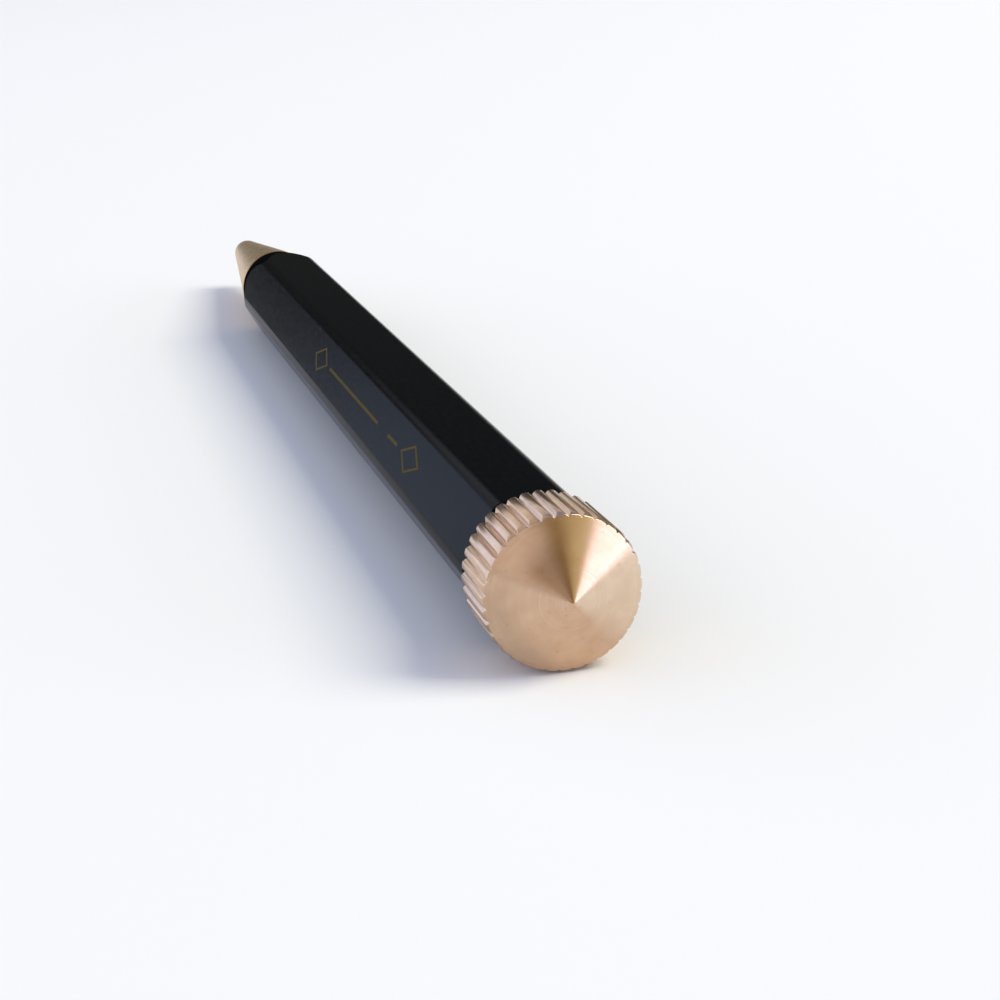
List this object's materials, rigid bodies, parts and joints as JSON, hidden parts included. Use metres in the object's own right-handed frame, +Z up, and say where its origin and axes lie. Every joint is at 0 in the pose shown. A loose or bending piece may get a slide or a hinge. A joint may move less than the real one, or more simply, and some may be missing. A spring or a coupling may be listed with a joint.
{
  "type": "twist ballpoint pen",
  "caption": "Hexagonal black ballpoint pen with a ribbed brass twist knob, conical brass nose, cam mechanism and retractable refill.",
  "frame": {"origin": "on the surface that the pen lies on, below the middle of its length and its axis", "axes": "+X along the pen towards the writing tip, +Z up from the surface, flats of the barrel facing +Z and -Z"},
  "size_m": [0.1416, 0.011, 0.011],
  "materials": {
    "black_coat": "satin black",
    "pale_brass": "fine turned",
    "rose_brass": "fine turned",
    "mechanism_brass": "turned",
    "steel": "bright",
    "white_plastic": "moulded",
    "dark_plastic": "moulded",
    "rubber": "matt",
    "ink": "wet"
  },
  "bodies": {
    "barrel_body": {"barrel": "black_coat", "nose_cone": "pale_brass", "rear_bush": "mechanism_brass", "thrust_washer": "steel", "mechanism_housing": "mechanism_brass", "guide_collar": "mechanism_brass", "return_spring": "steel"},
    "knob_body": {"twist_knob": "rose_brass", "knob_sleeve": "white_plastic", "cam_rotor": "white_plastic", "retaining_ring": "steel", "stem_o_ring": "rubber"},
    "refill_body": {"cam_follower": "white_plastic", "cam_pin": "steel", "refill_plug": "dark_plastic", "refill_tube": "steel", "ink_column": "ink", "refill_nose": "mechanism_brass", "refill_point": "steel"},
    "ball_body": {"writing_ball": "steel"}
  },
  "joints": [
    {"name": "knob_twist", "type": "hinge", "parent": "barrel_body", "child": "knob_body", "pos_m": [-0.066, 0, 0.0055], "axis": [1, 0, 0], "range_deg": [0, 150]},
    {"name": "refill_slide", "type": "slide", "parent": "barrel_body", "child": "refill_body", "axis": [1, 0, 0], "range_m": [0, 0.004], "deforming": ["return_spring"]},
    {"name": "ball_roll", "type": "hinge", "parent": "refill_body", "child": "ball_body", "pos_m": [0.0691, 0, 0.0055], "axis": [0, 1, 0], "continuous": true}
  ],
  "couplings": [
    {"joint": "refill_slide", "follows": "knob_twist", "m_per_rad": 0.0015278}
  ]
}
